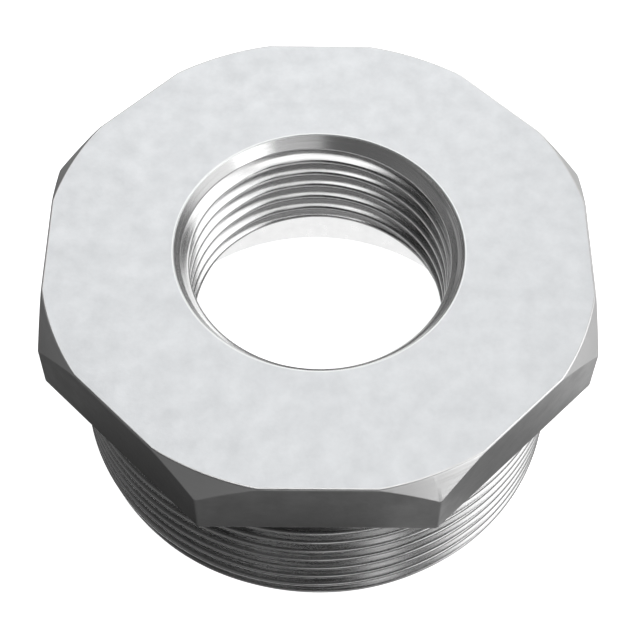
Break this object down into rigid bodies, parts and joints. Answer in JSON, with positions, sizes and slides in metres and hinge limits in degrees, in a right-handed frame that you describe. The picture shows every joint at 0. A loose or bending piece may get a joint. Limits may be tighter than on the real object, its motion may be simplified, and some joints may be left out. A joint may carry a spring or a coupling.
{
  "type": "octagon head reducing pipe bushing",
  "caption": "Octagonal-headed reducing pipe bushing: a wide head over a threaded spigot, with a smaller threaded bore through the head and a cored recess underneath.",
  "frame": {"origin": "centre of the spigot's end face, on which the bushing stands", "axes": "+Z along the bore, from the spigot's end face up to the head's top face; one flat of the head faces -Y"},
  "size_m": [0.063, 0.063, 0.032],
  "materials": {
    "cast_stainless_steel": "cast and blasted head, turned bevels and threads"
  },
  "bodies": {
    "root": {"bushing_body": "cast_stainless_steel"}
  },
  "joints": []
}
